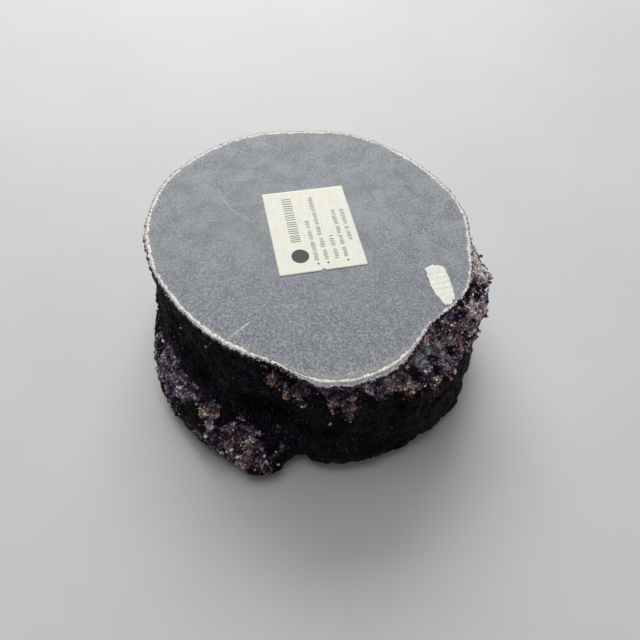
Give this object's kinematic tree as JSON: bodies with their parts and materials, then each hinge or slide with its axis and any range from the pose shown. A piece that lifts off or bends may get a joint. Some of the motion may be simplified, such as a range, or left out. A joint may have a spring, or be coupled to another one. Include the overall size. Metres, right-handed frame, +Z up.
{
  "type": "stone tealight holder",
  "caption": "Rough amethyst cluster sawn flat underneath, with a painted base and a drilled socket that holds a tealight, stored upside down.",
  "frame": {"origin": "on the table under the middle of the holder, which lies upside down with its crystal side on the table", "axes": "+Z up out of the painted base, so the holder in use is turned 180 degrees about X; +X to the right and +Y away from the viewer as it lies"},
  "size_m": [0.1068, 0.1142, 0.0433],
  "materials": {
    "stone": "rough dark crust with amethyst druse on the broken ledges",
    "base_paint": "matt slate-grey paint, scuffed",
    "label_paper": "matt cream paper with plain printed bars",
    "remnant_paper": "matt torn white paper",
    "cup": "thin drawn foil, softly polished",
    "wax": "white paraffin wax, satin",
    "sustainer": "tinned steel",
    "wick": "waxed braided cotton"
  },
  "bodies": {
    "holder": {"amethyst_stone": "stone", "base_coat": "base_paint", "paper_label": "label_paper", "sticker_remnant": "remnant_paper"},
    "tealight": {"tealight_cup": "cup", "tealight_wax": "wax", "wick_sustainer": "sustainer", "tealight_wick": "wick"}
  },
  "joints": [
    {"name": "tealight_lift", "type": "slide", "parent": "holder", "child": "tealight", "axis": [0, 0, -1], "range_m": [-0.0055, 0.03]}
  ]
}
